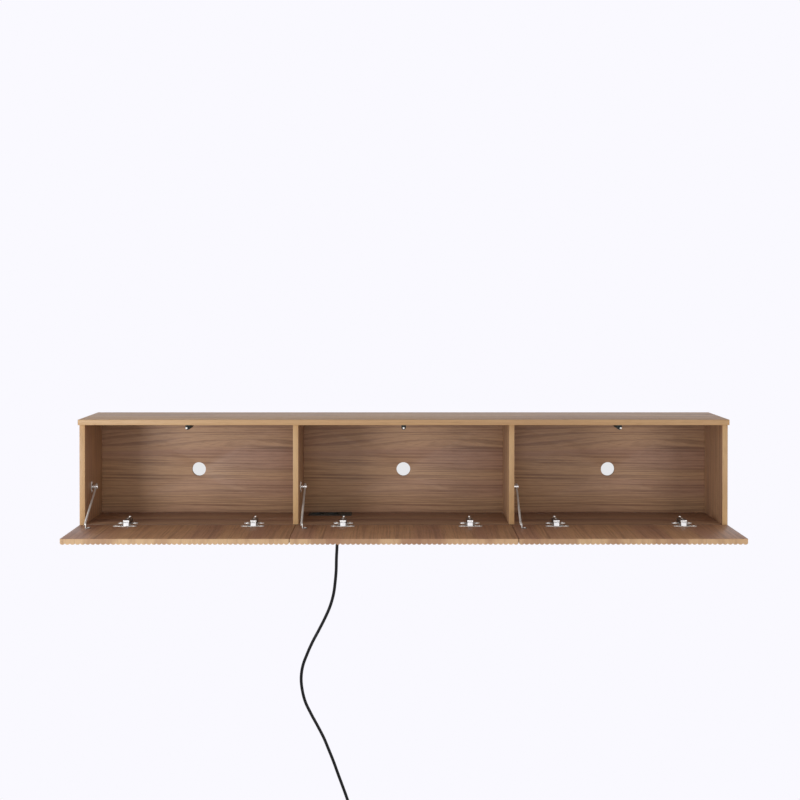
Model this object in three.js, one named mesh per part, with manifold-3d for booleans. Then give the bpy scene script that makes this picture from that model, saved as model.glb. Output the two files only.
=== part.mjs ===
// Floating media console: a wall-hung cabinet of three bays, each closed by a drop-down flap.
// Millimetres, +X to the right, +Y to the wall, +Z up.
// The origin is the centre of the wall rail's back face. The flaps stand open.

import * as THREE from 'three';
import { mergeVertices } from 'three/addons/utils/BufferGeometryUtils.js';
import Module from 'manifold-3d';

const wasm = await Module();
wasm.setup();

// Cabinet
const bodyWidth = 1797;
const bodyHeight = 307;
const bodyDepth = 310;
const boardThickness = 15;
const backThickness = 15;
const topEndOverhang = 1.5;
const topFrontMargin = 0.2;
const bayNames = ['left', 'middle', 'right'];
const cableHoleRadius = 20;
const cableHoleHeight = 127.5;

// Clearances
const boardGap = 0.2;
const runningGap = 0.3;
const cutOverrun = 1;

// Hanging rails, which hook together behind the back panels
const railRecess = 18;
const railThickness = 15;
const hangingRailHeight = 60;
const wallRailHeight = 60;
const wallRailInset = 33;
const railGap = 0.4;

// Flaps, with half-round ribs on the outside
const flapGap = 2.5;
const flapThickness = 15.6;
const flapTopGap = 3;
const flapBottomInset = 3;
const flapClosedGap = 2.2;
const ribHeight = 3;
const ribGroove = 1;
const ribsPerFlap = 45;
const ribSteps = 4;

// The flap's turning axis, measured from its lower edge and below its inner face
const axisInset = 5;
const axisDepth = 6.5;

// Concealed hinges
const hingeNames = ['a', 'b'];
const hingeOffset = 176;
const leftHingesShift = 3.3;
const middleHingesShift = 7.9;
const rightHingesShift = 3.9;
const hingesShifts = [leftHingesShift, middleHingesShift, rightHingesShift];
const cupInset = 20.5;
const cupBoreRadius = 17.5;
const cupBoreDepth = 11.3;
const cupFit = 0.2;
const cupSideWall = 1.8;
const cupFloor = 1.3;
const cupSides = 24;
const flangeWidth = 65;
const flangeWingDepth = 20;
const flangeThickness = 1;
const flangeRim = 1;
const flangeCorner = 6;
const notchDepth = 8;
const notchGap = 1;
const cupPinReach = 3.5;
const hingePinRadius = 1.5;
const linkWidth = 12.4;
const linkEyeRadius = 3;
const linkTipRadius = 2;
const armWidth = 17;
const armLength = 70;
const armEndRadius = 3.2;
const armRise = 8;
const armRearRise = 5.5;
const armShoulder = 16;
const armCorner = 3;
const armSlotLength = 4.8;
const armSlotRoof = 3.4;
const plateThickness = 1.8;
const plateSetback = 26;
const plateWingWidth = 54;
const plateWingDepth = 14;
const plateSpineWidth = 17;
const plateSpineLength = 46;
const plateHoleRadius = 2.3;
const plateHoleOffset = 19;

// Flap stays, one at the left of each bay
const swivelSetback = 104;
const swivelHeight = 94;
const swivelRadius = 6;
const swivelStart = 4.5;
const swivelEnd = 18;
const studRadius = 3;
const studLength = 8.5;
const bracketThickness = 1.5;
const bracketWidth = 16;
const bracketHeight = 34;
const rodRadius = 2.5;
const rodOffset = 12.6;
const rodFlatLength = 14;
const rodFlatRadius = 2.9;
const rodFlatThickness = 3;
const rodShaftSetback = 9;
const collarRadius = 4.2;
const collarLength = 6;
const footInset = 71.3;
const footHeight = 9.6;
const footEarThickness = 2;
const footEarRadius = 4.5;
const footBaseWidth = 14;
const footBaseLength = 18;
const footBaseThickness = 1.5;

// Push latches under the top panel
const latchWidth = 12.5;
const latchHeight = 14;
const latchLength = 88;
const latchSetback = 2;
const latchBoreDepth = 74;
const plungerRadius = 3.4;
const plungerTipRadius = 2.8;
const plungerTipLength = 6;
const plungerTipChamfer = 0.8;
const plungerReach = 24;
const plungerLength = 66;

// Power unit let into the floor of the middle bay
const unitWidth = 125;
const unitDepth = 72;
const unitBackGap = 2;
const unitCentre = -212.5;
const unitRim = 4;
const bezelThickness = 1.5;
const unitDrop = 25;
const glandOffset = 19.5;
const glandLength = 30;
const glandTopRadius = 8;
const glandEndRadius = 5.5;

// Mains cord, its coil and its plug
const cordRadius = 4.5;
const cordSides = 10;
const cordSteps = 44;
const coilSides = 6;
const coilStepsPerTurn = 24;
const coilRadius = 54;
const coilTurnPitch = 11;
const coilLayerPitch = 10;
const coilSpiralTurns = 1.25;
const coilClimbTurns = 0.5;
const coilTail = 50;
const plugReliefLength = 20;
const plugReliefRadius = 7;
const plugLength = 34;
const plugRadius = 13;
const plugCorner = 3;
const plugSides = 20;
const plugPinSpacing = 19;
const plugPinRadius = 2.4;
const plugPinLength = 19;

// Free hang of the cord, as steps from the gland's tip
const cordRoute = [
  [0, 0, 0],
  [0, 0, -20],
  [-2, 3, -58],
  [-3, 7, -94],
  [-6, 11, -129],
  [-11, 14, -165],
  [-21, 18, -201],
  [-36, 21, -236],
  [-54, 25, -272],
  [-73, 28, -308],
  [-89, 32, -344],
  [-102, 36, -380],
  [-107, 39, -416],
  [-104, 42, -452],
  [-95, 45, -488],
  [-78, 46, -524],
  [-59, 46, -559],
  [-41, 46, -594],
  [-26, 46, -630],
  [-12, 46, -665],
  [1, 46, -701],
  [14, 46, -736],
  [27, 46, -772],
  [37, 46, -803],
  [41, 46, -830],
  [42, 46, -852],
];

// Levels above the cabinet's underside
const ceiling = bodyHeight - boardThickness;
const railStandoff = railRecess - railThickness;
const hangingRailLow = ceiling - boardGap - hangingRailHeight;
const wallRailTopBack = hangingRailLow - railGap - railStandoff;
const wallRailBottom = wallRailTopBack + railThickness - wallRailHeight;
const originHeight = (wallRailTopBack + wallRailBottom) / 2;

// Places in the part's own frame
const underside = -originHeight;
const floorTop = underside + boardThickness;
const ceilingZ = underside + ceiling;
const frontY = -bodyDepth;
const bayPitch = bodyWidth / bayNames.length;
const lastBay = bayNames.length - 1;
const sideInner = bodyWidth / 2 - boardThickness;

// Flap sizes and axis
const flapWidth = bayPitch - flapGap;
const flapHeight = ceiling - flapTopGap - flapBottomInset;
const axisY = frontY - flapClosedGap - axisDepth;
const axisZ = underside + flapBottomInset + axisInset;
const topOverhang = flapClosedGap + flapThickness + topFrontMargin;

// Hinge sizes that follow from the others
const cupRadius = cupBoreRadius - cupFit;
const cupDepth = cupBoreDepth - cupFit;
const cupInnerRadius = cupRadius - cupSideWall;
const cupWallMiddle = cupRadius - cupSideWall / 2;
const flangeTop = cupFit + flangeThickness;
const armPinZ = floorTop + boardGap + plateThickness + runningGap + armEndRadius;
const linkDrop = armPinZ - axisZ - cupPinReach;
const linkLength = Math.hypot(linkDrop, cupPinReach);
const linkAngle = Math.atan2(-linkDrop, -cupPinReach);

// Stay pivots, as heights and depths
const swivelY = frontY + swivelSetback;
const swivelZ = floorTop + swivelHeight;
const footY = axisY + axisInset - footInset;
const footZ = axisZ + axisDepth + footHeight;
const rodLength = Math.hypot(swivelY - footY, swivelZ - footZ);
const rodAngle = Math.atan2(footZ - swivelZ, footY - swivelY);
const footEarStart = rodOffset + rodFlatThickness / 2 + runningGap;

const finishes = {
  wood: { color: 0x8e6e57, roughness: 0.6, metalness: 0 },
  ribbedWood: { color: 0x9a7658, roughness: 0.6, metalness: 0 },
  rail: { color: 0xb48f68, roughness: 0.8, metalness: 0 },
  nickel: { color: 0xd8d8d6, roughness: 0.3, metalness: 1 },
  blackPlastic: { color: 0x1d1d1f, roughness: 0.5, metalness: 0 },
  steel: { color: 0xbfc1c4, roughness: 0.25, metalness: 1 },
  blackRubber: { color: 0x111112, roughness: 0.6, metalness: 0 },
};

function finished(name, geometry, finish) {
  const mesh = new THREE.Mesh(geometry, new THREE.MeshStandardMaterial(finishes[finish]));
  mesh.name = name;
  return mesh;
}

// Turn a closed geometry into a solid that can be cut and joined
function solid(geometry) {
  const bare = geometry.clone();
  bare.deleteAttribute('normal');
  bare.deleteAttribute('uv');
  const welded = mergeVertices(bare);
  const corners = [];
  for (let i = 0; i < welded.index.count; i += 3) {
    const [a, b, c] = [0, 1, 2].map((k) => welded.index.getX(i + k));
    if (a !== b && b !== c && c !== a) corners.push(a, b, c);
  }
  return new wasm.Manifold(new wasm.Mesh({
    numProp: 3,
    vertProperties: welded.attributes.position.array,
    triVerts: new Uint32Array(corners),
  }));
}

function geometryOf(manifold) {
  const { vertProperties, triVerts } = manifold.getMesh();
  const geometry = new THREE.BufferGeometry();
  geometry.setAttribute('position', new THREE.BufferAttribute(vertProperties, 3));
  geometry.setIndex(new THREE.BufferAttribute(triVerts, 1));
  geometry.computeVertexNormals();
  return geometry;
}

// Join the first shape with the others, then take the cuts away
function carved(shapes, cuts) {
  let body = solid(shapes[0]);
  for (const shape of shapes.slice(1)) body = body.add(solid(shape));
  for (const cut of cuts) body = body.subtract(solid(cut));
  return geometryOf(body);
}

// A block between two opposite corners
function block(low, high) {
  const size = high.map((value, i) => value - low[i]);
  const middle = high.map((value, i) => (value + low[i]) / 2);
  return new THREE.BoxGeometry(...size).translate(...middle);
}

// A round bar from one point to another
function bar(start, end, radius, sides) {
  const from = new THREE.Vector3(...start);
  const to = new THREE.Vector3(...end);
  const along = to.clone().sub(from).normalize();
  const turn = new THREE.Quaternion().setFromUnitVectors(new THREE.Vector3(0, 1, 0), along);
  const geometry = new THREE.CylinderGeometry(radius, radius, from.distanceTo(to), sides);
  return geometry.applyQuaternion(turn).translate(...from.add(to).multiplyScalar(0.5));
}

// A profile drawn in Y and Z, made this wide along X
function extrudeX(profile, low, high) {
  const settings = { depth: high - low, bevelEnabled: false, curveSegments: 8 };
  const geometry = new THREE.ExtrudeGeometry(profile, settings);
  const [x, y, z] = [[1, 0, 0], [0, 1, 0], [0, 0, 1]].map((axis) => new THREE.Vector3(...axis));
  return geometry.applyMatrix4(new THREE.Matrix4().makeBasis(y, z, x)).translate(low, 0, 0);
}

// A profile drawn in X and Z, made this long along Y
function extrudeY(profile, low, high) {
  const geometry = new THREE.ExtrudeGeometry(profile, { depth: high - low, bevelEnabled: false });
  return geometry.rotateX(Math.PI / 2).translate(0, high, 0);
}

// A profile drawn in X and Y, made this thick along Z
function extrudeZ(profile, low, high, sides = 12) {
  const settings = { depth: high - low, bevelEnabled: false, curveSegments: sides };
  return new THREE.ExtrudeGeometry(profile, settings).translate(0, 0, low);
}

// A turned shape about Z, from pairs of radius and height
function turned(pairs, sides) {
  const profile = pairs.map(([radius, height]) => new THREE.Vector2(radius, height));
  return new THREE.LatheGeometry(profile, sides).rotateX(Math.PI / 2);
}

function roundedRectangle(width, height, corner) {
  const shape = new THREE.Shape();
  const [x, y] = [width / 2 - corner, height / 2 - corner];
  shape.absarc(x, y, corner, 0, Math.PI / 2);
  shape.absarc(-x, y, corner, Math.PI / 2, Math.PI);
  shape.absarc(-x, -y, corner, Math.PI, Math.PI * 1.5);
  shape.absarc(x, -y, corner, Math.PI * 1.5, Math.PI * 2);
  return shape;
}

// Two round ends joined by straight sides, the first at the origin and the second along this angle
function linkProfile(length, firstRadius, secondRadius, angle) {
  const spread = Math.acos((firstRadius - secondRadius) / length);
  const shape = new THREE.Shape();
  shape.absarc(0, 0, firstRadius, angle + spread, angle - spread + Math.PI * 2);
  shape.absarc(length * Math.cos(angle), length * Math.sin(angle), secondRadius, angle - spread, angle + spread);
  return shape;
}

function roundHole(x, y, radius) {
  return new THREE.Path().absarc(x, y, radius, 0, Math.PI * 2, true);
}

// The inner walls and the centre of a bay
function bay(index) {
  const start = -bodyWidth / 2 + bayPitch * index;
  const left = start + (index === 0 ? boardThickness : boardThickness / 2);
  const right = start + bayPitch - (index === lastBay ? boardThickness : boardThickness / 2);
  return { left, right, centre: (left + right) / 2, flapCentre: start + bayPitch / 2 };
}

function topPanel() {
  const end = bodyWidth / 2 + topEndOverhang;
  const low = [-end, frontY - topOverhang, ceilingZ];
  return finished('top_panel', block(low, [end, 0, underside + bodyHeight]), 'wood');
}

function sidePanels() {
  return [['left', -bodyWidth / 2], ['right', sideInner]].map(([side, x]) => {
    const high = [x + boardThickness, 0, ceilingZ - boardGap];
    return finished(`${side}_side_panel`, block([x, frontY, underside], high), 'wood');
  });
}

function bottomPanel() {
  const end = sideInner - boardGap;
  const { low, high } = unitBody();
  const fit = [runningGap, runningGap, cutOverrun];
  const cut = block(low.map((v, i) => v - fit[i]), high.map((v, i) => v + fit[i]));
  return finished('bottom_panel', carved([block([-end, frontY, underside], [end, 0, floorTop])], [cut]), 'wood');
}

function dividers() {
  return bayNames.slice(1).map((name, index) => {
    const middle = -bodyWidth / 2 + bayPitch * (index + 1);
    const low = [middle - boardThickness / 2, frontY, floorTop + boardGap];
    const high = [middle + boardThickness / 2, -railRecess, ceilingZ - boardGap];
    const side = index === 0 ? 'left' : 'right';
    return finished(`${side}_divider`, block(low, high), 'wood');
  });
}

function backPanel(name, index) {
  const { left, right, flapCentre } = bay(index);
  const board = new THREE.Shape();
  const [bottom, top] = [floorTop + boardGap, ceilingZ - boardGap];
  board.moveTo(left + boardGap, bottom);
  board.lineTo(right - boardGap, bottom);
  board.lineTo(right - boardGap, top);
  board.lineTo(left + boardGap, top);
  board.holes.push(roundHole(flapCentre, floorTop + cableHoleHeight, cableHoleRadius));
  return finished(`${name}_back_panel`, extrudeY(board, -railRecess - backThickness, -railRecess), 'wood');
}

// The rail on the cabinet, whose bevelled lower edge hooks over the wall rail
function hangingRail() {
  const [front, back] = [boardGap - railRecess, -railStandoff];
  const low = underside + hangingRailLow;
  const profile = new THREE.Shape();
  profile.moveTo(back, low);
  profile.lineTo(back, ceilingZ - boardGap);
  profile.lineTo(front, ceilingZ - boardGap);
  profile.lineTo(front, low + (back - front));
  const end = sideInner - boardGap;
  return finished('hanging_rail', extrudeX(profile, -end, end), 'rail');
}

function wallRail() {
  const topBack = underside + wallRailTopBack;
  const bottom = underside + wallRailBottom;
  const profile = new THREE.Shape();
  profile.moveTo(0, bottom);
  profile.lineTo(0, topBack);
  profile.lineTo(-railThickness, topBack + railThickness);
  profile.lineTo(-railThickness, bottom);
  const end = sideInner - wallRailInset;
  return finished('wall_rail', extrudeX(profile, -end, end), 'rail');
}

// Section of a flap: a flat inner face above, and half-round ribs below
function flapProfile() {
  const half = flapWidth / 2;
  const core = flapThickness - ribHeight;
  const pitch = flapWidth / ribsPerFlap;
  const chord = pitch - ribGroove;
  const radius = (chord * chord / 4 + ribHeight * ribHeight) / (2 * ribHeight);
  const spread = Math.asin(chord / 2 / radius);
  const profile = new THREE.Shape();
  profile.moveTo(-half, 0);
  profile.lineTo(-half, -core);
  for (let rib = 0; rib < ribsPerFlap; rib += 1) {
    const middle = -half + pitch * (rib + 1 / 2);
    for (let step = 0; step <= ribSteps; step += 1) {
      const angle = spread * (2 * step / ribSteps - 1);
      const drop = radius * Math.cos(angle) - radius * Math.cos(spread);
      profile.lineTo(middle + radius * Math.sin(angle), -core - drop);
    }
  }
  profile.lineTo(half, -core);
  profile.lineTo(half, 0);
  return profile;
}

// Everything on a flap is placed from its axis: Y runs back from it, and the inner face is above it
function flapPanel(name, index) {
  const { flapCentre } = bay(index);
  const board = extrudeY(flapProfile(), axisInset - flapHeight, axisInset).translate(flapCentre, 0, axisDepth);
  const cupY = axisInset - cupInset;
  const bores = hingeNames.map((_, side) => {
    const x = hingeX(index, side);
    const bottom = [x, cupY, axisDepth - cupBoreDepth];
    return bar(bottom, [x, cupY, axisDepth + cutOverrun], cupBoreRadius, cupSides);
  });
  return finished(`${name}_flap`, carved([board], bores), 'ribbedWood');
}

// A bay's two hinges stand a little to the right of its middle
function hingeX(index, side) {
  return bay(index).centre + hingesShifts[index] + (side === 0 ? -hingeOffset : hingeOffset);
}

// The cup let into the flap, with its flange, the notch for the link and two stub pins beside the link
function hingeCup(name, x) {
  const cup = turned([
    [0, -cupDepth],
    [cupRadius, -cupDepth],
    [cupRadius, flangeTop],
    [cupInnerRadius, flangeTop],
    [cupInnerRadius, cupFloor - cupDepth],
    [0, cupFloor - cupDepth],
  ], cupSides);
  const wings = roundedRectangle(flangeWidth, flangeWingDepth, flangeCorner);
  const rim = new THREE.Shape().absarc(0, 0, cupRadius + flangeRim, 0, Math.PI * 2);
  const mouth = bar([0, 0, 0], [0, 0, flangeTop + cutOverrun], cupWallMiddle, cupSides);
  const flange = [extrudeZ(wings, cupFit, flangeTop, 3), extrudeZ(rim, cupFit, flangeTop, cupSides)];
  const pinY = cupInset - axisInset - cupPinReach;
  const pinZ = cupPinReach - axisDepth;
  const notchSide = linkWidth / 2 + notchGap;
  const notchEnd = cupRadius + flangeRim + cutOverrun;
  const notch = block([-notchSide, pinY - linkTipRadius, -notchDepth], [notchSide, notchEnd, flangeTop + cutOverrun]);
  const pinStart = linkWidth / 2 + runningGap;
  const pinEnd = Math.sqrt(cupRadius ** 2 - (pinY + hingePinRadius) ** 2) - 2 * cupFit;
  const pins = [-1, 1].map((side) => (
    bar([side * pinStart, pinY, pinZ], [side * pinEnd, pinY, pinZ], hingePinRadius, 10)
  ));
  const ring = carved(flange, [mouth]);
  const open = carved([cup, ring], [notch]);
  return placed(finished(name, carved([open, ...pins], []), 'nickel'), x, axisInset - cupInset, axisDepth);
}

function placed(mesh, x, y, z) {
  mesh.position.set(x, y, z);
  return mesh;
}

// The link between the arm's pin and the cup
function hingeLink(name, x) {
  const profile = linkProfile(linkLength, linkEyeRadius, linkTipRadius, linkAngle);
  profile.holes.push(roundHole(0, 0, hingePinRadius + runningGap));
  return placed(finished(name, extrudeX(profile, -linkWidth / 2, linkWidth / 2), 'nickel'), x, axisY, armPinZ);
}

// The fixed arm, drawn from the pin at its front end
function hingeArm(name, x) {
  const profile = new THREE.Shape();
  profile.moveTo(armLength, -armEndRadius);
  profile.lineTo(armLength, armRearRise);
  profile.lineTo(armShoulder, armRise);
  profile.absarc(armCorner - armEndRadius, armRise - armCorner, armCorner, Math.PI / 2, Math.PI);
  profile.absarc(0, 0, armEndRadius, Math.PI, Math.PI * 1.5);
  const side = armWidth / 2;
  const body = extrudeX(profile, -side, side);
  const slotSide = linkWidth / 2 + runningGap;
  const slotStart = -armEndRadius - cutOverrun;
  const slot = block([-slotSide, slotStart, slotStart], [slotSide, armSlotLength, armSlotRoof]);
  const pinEnd = (side + slotSide) / 2;
  const pin = bar([-pinEnd, 0, 0], [pinEnd, 0, 0], hingePinRadius, 12);
  return placed(finished(name, carved([carved([body], [slot]), pin], []), 'nickel'), x, axisY, armPinZ);
}

// The cross-shaped mounting plate on the floor
function hingePlate(name, x) {
  const [wing, wingDepth] = [plateWingWidth / 2, plateWingDepth / 2];
  const [spine, spineLength] = [plateSpineWidth / 2, plateSpineLength / 2];
  const wings = block([-wing, -wingDepth, 0], [wing, wingDepth, plateThickness]);
  const middle = block([-spine, -spineLength, 0], [spine, spineLength, plateThickness]);
  const holes = [-plateHoleOffset, plateHoleOffset].map((hole) => (
    bar([hole, 0, -cutOverrun], [hole, 0, plateThickness + cutOverrun], plateHoleRadius, 12)
  ));
  const mesh = finished(name, carved([wings, middle], holes), 'nickel');
  return placed(mesh, x, frontY + plateSetback, floorTop + boardGap);
}

// The bracket on the bay's left wall, with the stud that the swivel turns on
function stayBracket(name, x) {
  const plate = roundedRectangle(bracketWidth, bracketHeight, bracketWidth / 2);
  const start = boardGap;
  const stud = bar([start + bracketThickness / 2, 0, 0], [studLength, 0, 0], studRadius, 16);
  const geometry = carved([extrudeX(plate, start, start + bracketThickness), stud], []);
  return placed(finished(name, geometry, 'nickel'), x, swivelY, swivelZ);
}

// A point on the rod's line, this far from the swivel towards the foot
function alongRod(distance) {
  return [rodOffset, distance * Math.cos(rodAngle), distance * Math.sin(rodAngle)];
}

function staySwivel(name, x) {
  const barrel = bar([swivelStart, 0, 0], [swivelEnd, 0, 0], swivelRadius, 20);
  const studBore = bar([swivelStart - cutOverrun, 0, 0], [studLength + runningGap, 0, 0], studRadius + runningGap, 16);
  const reach = swivelRadius + cutOverrun;
  const rodBore = bar(alongRod(-reach), alongRod(reach), rodRadius + runningGap, 12);
  return placed(finished(name, carved([barrel], [studBore, rodBore]), 'nickel'), x, swivelY, swivelZ);
}

// The rod that slides through the swivel, with its stop collar behind and its flat eye at the foot
function stayRod(name, x) {
  const collarStart = swivelRadius + runningGap;
  const collarEnd = collarStart + collarLength;
  const shaft = bar(alongRod(-collarEnd), alongRod(rodLength - rodShaftSetback), rodRadius, 12);
  const collar = bar(alongRod(-collarStart), alongRod(-collarEnd), collarRadius, 12);
  const flat = linkProfile(rodFlatLength, rodFlatRadius, rodFlatRadius, rodAngle + Math.PI);
  const half = rodFlatThickness / 2;
  const eye = extrudeX(flat, -half, half).translate(...alongRod(rodLength));
  return placed(finished(name, carved([shaft, collar, eye], []), 'steel'), x, swivelY, swivelZ);
}

// The foot screwed to the flap, whose ear stands beside the rod's eye
function stayFoot(name, x) {
  const base = cupFit - footHeight;
  const ear = new THREE.Shape();
  ear.moveTo(-footEarRadius - footEarThickness, base);
  ear.lineTo(footEarRadius + footEarThickness, base);
  ear.absarc(0, 0, footEarRadius, 0, Math.PI);
  const side = footEarStart + footEarThickness;
  const length = footBaseLength / 2;
  const plate = block([footEarStart, -length, base], [footEarStart + footBaseWidth, length, base + footBaseThickness]);
  const geometry = carved([extrudeX(ear, footEarStart, side), plate], []);
  return placed(finished(name, geometry, 'nickel'), x, axisInset - footInset, axisDepth + footHeight);
}

// The latch body, with a round belly and a blind bore for its plunger
function latchHousing(name, x) {
  const half = latchWidth / 2;
  const boreZ = half - latchHeight;
  const profile = new THREE.Shape();
  profile.moveTo(half, 0);
  profile.lineTo(-half, 0);
  profile.absarc(0, boreZ, half, Math.PI, Math.PI * 2);
  const body = extrudeY(profile, 0, latchLength);
  const bore = bar([0, -cutOverrun, boreZ], [0, latchBoreDepth, boreZ], plungerRadius + runningGap, 12);
  const mesh = finished(name, carved([body], [bore]), 'blackPlastic');
  return placed(mesh, x, frontY + latchSetback, ceilingZ - boardGap);
}

function latchPlunger(name, x) {
  const profile = [
    [0, 0],
    [plungerTipRadius - plungerTipChamfer, 0],
    [plungerTipRadius, plungerTipChamfer],
    [plungerTipRadius, plungerTipLength],
    [plungerRadius, plungerTipLength],
    [plungerRadius, plungerLength],
    [0, plungerLength],
  ];
  const geometry = turned(profile.reverse().map(([radius, height]) => [radius, -height]), 12).rotateX(Math.PI / 2);
  const z = ceilingZ - boardGap - latchHeight + latchWidth / 2;
  return placed(finished(name, geometry, 'blackPlastic'), x, frontY - plungerReach, z);
}

// The power unit's body below its bezel, as two corners
function unitBody() {
  const back = -railRecess - backThickness - unitBackGap;
  const [side, rim] = [unitWidth / 2, unitRim];
  return {
    low: [unitCentre - side + rim, back - unitDepth + rim, underside - unitDrop],
    high: [unitCentre + side - rim, back - rim, floorTop + boardGap],
  };
}

function glandTip() {
  const { low, high } = unitBody();
  return [unitCentre + glandOffset, (low[1] + high[1]) / 2, low[2] - glandLength];
}

function powerUnit() {
  const { low, high } = unitBody();
  const top = high[2] + bezelThickness;
  const bezel = block([low[0] - unitRim, low[1] - unitRim, high[2]], [high[0] + unitRim, high[1] + unitRim, top]);
  const body = block(low, [high[0], high[1], high[2] + bezelThickness / 2]);
  const [x, y, z] = glandTip();
  const root = glandLength + cutOverrun;
  const gland = turned([[0, 0], [glandEndRadius, 0], [glandTopRadius, root], [0, root]], 16).translate(x, y, z);
  return finished('power_unit', carved([body, bezel, gland], []), 'blackPlastic');
}

function tubeSection(sides) {
  const corners = Array.from({ length: sides }, (_, i) => 2 * Math.PI * i / sides);
  return new THREE.Shape(corners.map((angle) => (
    new THREE.Vector2(cordRadius * Math.cos(angle), cordRadius * Math.sin(angle))
  )));
}

function tube(curve, sides, steps) {
  return new THREE.ExtrudeGeometry(tubeSection(sides), { steps, extrudePath: curve, bevelEnabled: false });
}

function cordCurve() {
  const [x, y, z] = glandTip();
  const points = cordRoute.map(([dx, dy, dz]) => new THREE.Vector3(x + dx, y + dy, z + dz - runningGap));
  return new THREE.CatmullRomCurve3(points, false, 'centripetal');
}

function powerCord() {
  return finished('power_cord', tube(cordCurve(), cordSides, cordSteps), 'blackRubber');
}

// The coil starts straight down at its right side, winds inwards, climbs a layer forwards in the
// half turn where it reverses, winds outwards, and ends straight down in its tail
function coilPoints() {
  const start = cordCurve().getPoint(1);
  const entry = start.z - runningGap - 2 * cordRadius;
  const turns = 2 * coilSpiralTurns + coilClimbTurns;
  const steps = Math.round(turns * coilStepsPerTurn);
  const points = [new THREE.Vector3(start.x, start.y, start.z - runningGap)];
  for (let i = 0; i <= steps; i += 1) {
    const turn = i / coilStepsPerTurn;
    const inwards = Math.min(turn, coilSpiralTurns, turns - turn);
    const climb = THREE.MathUtils.clamp((turn - coilSpiralTurns) / coilClimbTurns, 0, 1);
    const radius = coilRadius - coilTurnPitch * inwards;
    const angle = -2 * Math.PI * turn;
    points.push(new THREE.Vector3(
      start.x - coilRadius + radius * Math.cos(angle),
      start.y - coilLayerPitch * climb,
      entry + radius * Math.sin(angle),
    ));
  }
  const last = points[points.length - 1];
  points.push(new THREE.Vector3(last.x, last.y, entry - coilTail / 2));
  points.push(new THREE.Vector3(last.x, last.y, entry - coilTail));
  return points;
}

function coilCurve() {
  return new THREE.CatmullRomCurve3(coilPoints(), false, 'centripetal');
}

// The least gap between stretches of the coil that lie more than half a turn apart
function leastGap(curve) {
  const samples = 360;
  const points = curve.getSpacedPoints(samples);
  const apart = Math.PI * coilRadius;
  const step = curve.getLength() / samples;
  let least = Infinity;
  for (let i = 0; i < points.length; i += 1) {
    for (let j = i + Math.ceil(apart / step); j < points.length; j += 1) {
      least = Math.min(least, points[i].distanceTo(points[j]) - 2 * cordRadius);
    }
  }
  return least;
}

function cordCoil() {
  const curve = coilCurve();
  const steps = coilPoints().length + 1;
  console.log(`cord_coil: least gap to itself ${leastGap(curve).toFixed(2)} mm`);
  console.log(`cord: ${(cordCurve().getLength() + curve.getLength()).toFixed(0)} mm long in all`);
  return finished('cord_coil', tube(curve, coilSides, steps), 'blackRubber');
}

function cordPlug() {
  const end = coilCurve().getPoint(1);
  const shoulder = -plugReliefLength;
  const face = shoulder - plugLength;
  const body = turned([
    [0, face],
    [plugRadius - plugCorner, face],
    [plugRadius, face + plugCorner],
    [plugRadius, shoulder - plugCorner],
    [plugReliefRadius, shoulder],
    [cordRadius, 0],
    [0, 0],
  ], plugSides);
  const pins = [-1, 1].map((side) => {
    const x = side * plugPinSpacing / 2;
    return bar([x, 0, face - plugPinLength], [x, 0, face + plugCorner], plugPinRadius, 8);
  });
  const mesh = finished('cord_plug', carved([body, ...pins], []), 'blackRubber');
  return placed(mesh, end.x, end.y, end.z - runningGap);
}

const cabinet = new THREE.Group();
cabinet.add(topPanel(), bottomPanel(), ...sidePanels(), ...dividers(), hangingRail(), wallRail());

bayNames.forEach((name, index) => {
  const { left, flapCentre } = bay(index);
  const flap = new THREE.Group();
  flap.position.set(0, axisY, axisZ);
  flap.add(flapPanel(name, index), stayFoot(`${name}_stay_foot`, left));
  hingeNames.forEach((letter, side) => {
    const x = hingeX(index, side);
    const hinge = `${name}_hinge_${letter}`;
    flap.add(hingeCup(`${hinge}_cup`, x));
    cabinet.add(hingeLink(`${hinge}_link`, x), hingeArm(`${hinge}_arm`, x), hingePlate(`${hinge}_plate`, x));
  });
  cabinet.add(backPanel(name, index), flap);
  cabinet.add(stayBracket(`${name}_stay_bracket`, left), staySwivel(`${name}_stay_swivel`, left));
  cabinet.add(stayRod(`${name}_stay_rod`, left));
  cabinet.add(latchHousing(`${name}_latch_housing`, flapCentre), latchPlunger(`${name}_latch_plunger`, flapCentre));
});

cabinet.add(powerUnit(), powerCord(), cordCoil(), cordPlug());

export default cabinet;
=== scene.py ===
# %% [markdown]
# A floating media console hangs on a wall with nothing below it. It has three equal bays, and each
# bay is closed by a flap that is hinged along its lower edge and drops open. This lesson dresses the
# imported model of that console: every board, flap and fitting gets its real edges and its real finish.

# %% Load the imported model
import math

import bpy
from mathutils import Matrix, Vector


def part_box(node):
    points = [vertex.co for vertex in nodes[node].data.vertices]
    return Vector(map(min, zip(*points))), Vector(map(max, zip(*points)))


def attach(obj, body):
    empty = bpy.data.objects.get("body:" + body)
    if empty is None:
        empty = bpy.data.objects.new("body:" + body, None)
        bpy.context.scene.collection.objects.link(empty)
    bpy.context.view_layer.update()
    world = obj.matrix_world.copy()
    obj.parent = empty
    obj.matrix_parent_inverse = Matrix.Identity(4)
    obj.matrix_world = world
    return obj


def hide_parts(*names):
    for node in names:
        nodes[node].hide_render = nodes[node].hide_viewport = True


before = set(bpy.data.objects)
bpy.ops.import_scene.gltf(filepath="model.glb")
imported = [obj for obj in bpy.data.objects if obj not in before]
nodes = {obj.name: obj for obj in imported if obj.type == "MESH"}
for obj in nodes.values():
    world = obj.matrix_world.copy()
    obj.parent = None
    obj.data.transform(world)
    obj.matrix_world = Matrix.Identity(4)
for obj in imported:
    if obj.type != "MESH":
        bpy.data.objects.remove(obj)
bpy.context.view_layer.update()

bays = ["left", "middle", "right"]
MM = 0.001

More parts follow.
